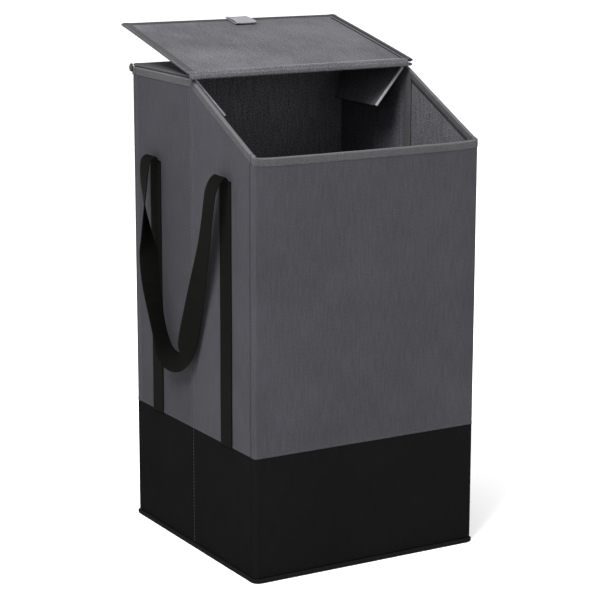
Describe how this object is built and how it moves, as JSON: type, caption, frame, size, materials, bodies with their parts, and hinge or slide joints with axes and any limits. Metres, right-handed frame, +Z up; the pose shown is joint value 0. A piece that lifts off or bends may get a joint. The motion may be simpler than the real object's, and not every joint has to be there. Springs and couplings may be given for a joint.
{
  "type": "laundry hamper",
  "caption": "Tall square fold-flat fabric laundry hamper with sloped front, flap lid leaning open, dark lower band and a webbing handle loop on each side.",
  "frame": {"origin": "centre of the bottom, on the floor", "axes": "+Z up, -Y towards the low front, +X to the right as seen from the front"},
  "size_m": [0.3708, 0.3721, 0.6978],
  "materials": {
    "grey_cloth": "matte",
    "black_cloth": "matte",
    "stiffener_board": "matte",
    "lining_cloth": "matte",
    "rim_tape": "matte",
    "webbing": "matte",
    "tab_cloth": "matte"
  },
  "bodies": {
    "root": {"back_outer_cloth": "grey_cloth", "back_lower_band": "black_cloth", "back_stiffener": "stiffener_board", "back_lining": "lining_cloth", "back_rim_binding": "rim_tape", "bottom_piping": "black_cloth", "bottom_fabric": "black_cloth", "rear_hinge_tape": "rim_tape"},
    "front_wall": {"front_outer_cloth": "grey_cloth", "front_lower_band": "black_cloth", "front_stiffener": "stiffener_board", "front_lining": "lining_cloth", "front_rim_binding": "rim_tape"},
    "left_rear_half": {"left_rear_outer_cloth": "grey_cloth", "left_rear_lower_band": "black_cloth", "left_rear_stiffener": "stiffener_board", "left_rear_lining": "lining_cloth", "left_rear_rim_binding": "rim_tape", "left_rear_sewn_strap": "webbing"},
    "left_front_half": {"left_front_outer_cloth": "grey_cloth", "left_front_lower_band": "black_cloth", "left_front_stiffener": "stiffener_board", "left_front_lining": "lining_cloth", "left_front_rim_binding": "rim_tape", "left_front_sewn_strap": "webbing"},
    "left_wing": {"left_wing_cover": "grey_cloth", "left_wing_board": "stiffener_board"},
    "left_handle": {"left_handle_loop": "webbing"},
    "right_rear_half": {"right_rear_outer_cloth": "grey_cloth", "right_rear_lower_band": "black_cloth", "right_rear_stiffener": "stiffener_board", "right_rear_lining": "lining_cloth", "right_rear_rim_binding": "rim_tape", "right_rear_sewn_strap": "webbing"},
    "right_front_half": {"right_front_outer_cloth": "grey_cloth", "right_front_lower_band": "black_cloth", "right_front_stiffener": "stiffener_board", "right_front_lining": "lining_cloth", "right_front_rim_binding": "rim_tape", "right_front_sewn_strap": "webbing"},
    "right_wing": {"right_wing_cover": "grey_cloth", "right_wing_board": "stiffener_board"},
    "right_handle": {"right_handle_loop": "webbing"},
    "top_panel": {"top_panel_cover": "grey_cloth", "top_panel_board": "stiffener_board", "top_panel_binding": "rim_tape"},
    "lid": {"lid_outer_cover": "grey_cloth", "lid_lining": "lining_cloth", "lid_board": "stiffener_board", "lid_binding": "rim_tape"},
    "pull_tab": {"lid_pull_tab": "tab_cloth"},
    "base_board": {"base_board_cover": "lining_cloth", "base_board_core": "stiffener_board"}
  },
  "joints": [
    {"name": "side_fold", "type": "hinge", "parent": "root", "child": "left_rear_half", "pos_m": [-0.1635, 0.1615, 0.3], "axis": [0, 0, 1], "range_deg": [0, 82], "deforming": ["left_handle_loop", "right_handle_loop"]},
    {"name": "left_middle_fold", "type": "hinge", "parent": "left_rear_half", "child": "left_front_half", "pos_m": [-0.1685, 0, 0.3], "axis": [0, 0, 1], "range_deg": [-164, 0]},
    {"name": "front_corner_fold", "type": "hinge", "parent": "left_front_half", "child": "front_wall", "pos_m": [-0.1635, -0.1615, 0.3], "axis": [0, 0, 1], "range_deg": [0, 82]},
    {"name": "right_side_fold", "type": "hinge", "parent": "root", "child": "right_rear_half", "pos_m": [0.1635, 0.1615, 0.3], "axis": [0, 0, 1], "range_deg": [-82, 0]},
    {"name": "right_middle_fold", "type": "hinge", "parent": "right_rear_half", "child": "right_front_half", "pos_m": [0.1685, 0, 0.3], "axis": [0, 0, 1], "range_deg": [0, 164]},
    {"name": "left_wing_fold", "type": "hinge", "parent": "left_rear_half", "child": "left_wing", "pos_m": [-0.1622, 0.08, 0.632], "axis": [0, 1, 0], "range_deg": [0, 38]},
    {"name": "right_wing_fold", "type": "hinge", "parent": "right_rear_half", "child": "right_wing", "pos_m": [0.1622, 0.08, 0.632], "axis": [0, 1, 0], "range_deg": [-38, 0]},
    {"name": "top_panel_hinge", "type": "hinge", "parent": "root", "child": "top_panel", "pos_m": [0, 0.171, 0.6352], "axis": [-1, 0, 0], "range_deg": [0, 120]},
    {"name": "lid_hinge", "type": "hinge", "parent": "top_panel", "child": "lid", "pos_m": [0, -0.013, 0.64], "axis": [1, 0, 0], "range_deg": [-11, 194]},
    {"name": "pull_tab_hinge", "type": "hinge", "parent": "lid", "child": "pull_tab", "pos_m": [0, 0.197, 0.69274], "axis": [-1, 0, 0], "range_deg": [0, 180]},
    {"name": "base_board_lift", "type": "hinge", "parent": "root", "child": "base_board", "pos_m": [0, 0.1656, 0.005], "axis": [-1, 0, 0], "range_deg": [0, 90]},
    {"name": "left_handle_swing", "type": "hinge", "parent": "left_rear_half", "child": "left_handle", "pos_m": [-0.1755, 0, 0.5215], "axis": [0, 1, 0], "range_deg": [0, 165]},
    {"name": "right_handle_swing", "type": "hinge", "parent": "right_rear_half", "child": "right_handle", "pos_m": [0.1755, 0, 0.5215], "axis": [0, -1, 0], "range_deg": [0, 165]}
  ],
  "couplings": [
    {"joint": "left_middle_fold", "follows": "side_fold", "ratio": -2},
    {"joint": "front_corner_fold", "follows": "side_fold", "ratio": 1},
    {"joint": "right_side_fold", "follows": "side_fold", "ratio": -1},
    {"joint": "right_middle_fold", "follows": "side_fold", "ratio": 2},
    {"joint": "left_wing_fold", "follows": "side_fold", "ratio": 0.4634},
    {"joint": "right_wing_fold", "follows": "side_fold", "ratio": -0.4634}
  ]
}
